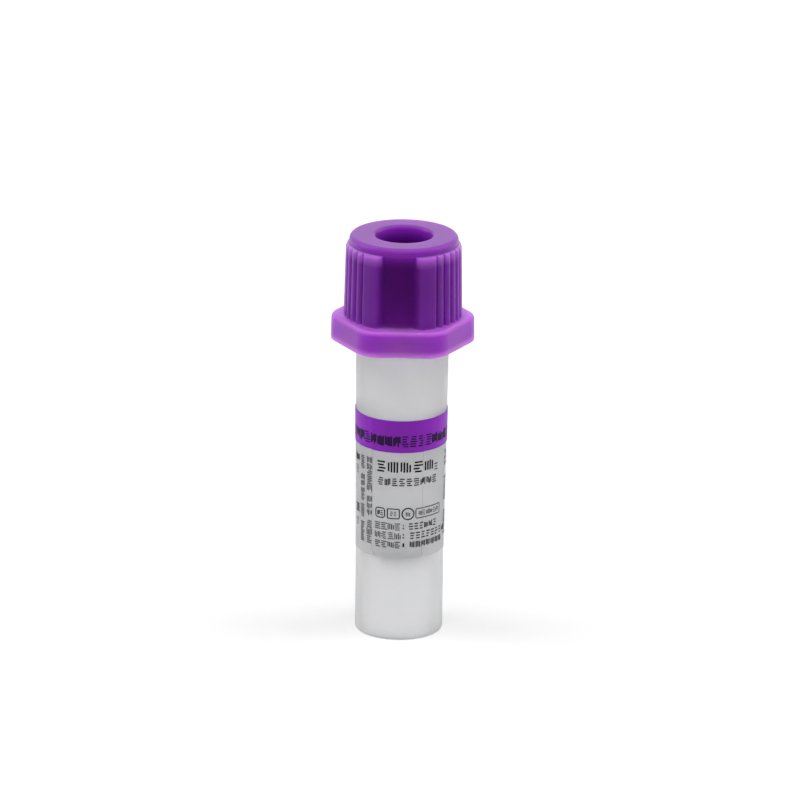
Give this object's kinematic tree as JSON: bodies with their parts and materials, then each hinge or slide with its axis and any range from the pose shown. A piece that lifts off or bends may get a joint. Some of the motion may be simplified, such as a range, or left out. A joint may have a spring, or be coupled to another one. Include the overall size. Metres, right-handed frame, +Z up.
{
  "type": "blood collection tube",
  "caption": "Micro blood collection tube on an open skirt, with a push-on ribbed cap with a deep well and a six-sided flange, and a wrapped film label.",
  "frame": {"origin": "on the tube's axis, at the level its skirt stands on", "axes": "+Z up along the tube's axis, towards the cap; -Y is the front, where the label's print faces"},
  "size_m": [0.0156, 0.0142, 0.0451],
  "materials": {
    "tube": "milky translucent moulded polypropylene",
    "cap": "purple moulded polyethylene, satin gloss, faintly translucent",
    "label": "thin semi-clear adhesive film with a purple band"
  },
  "bodies": {
    "tube_body": {"tube": "tube", "label": "label"},
    "cap_body": {"cap": "cap"}
  },
  "joints": [
    {"name": "cap_slide", "type": "slide", "parent": "tube_body", "child": "cap_body", "axis": [0, 0, 1], "range_m": [0, 0.012]}
  ]
}
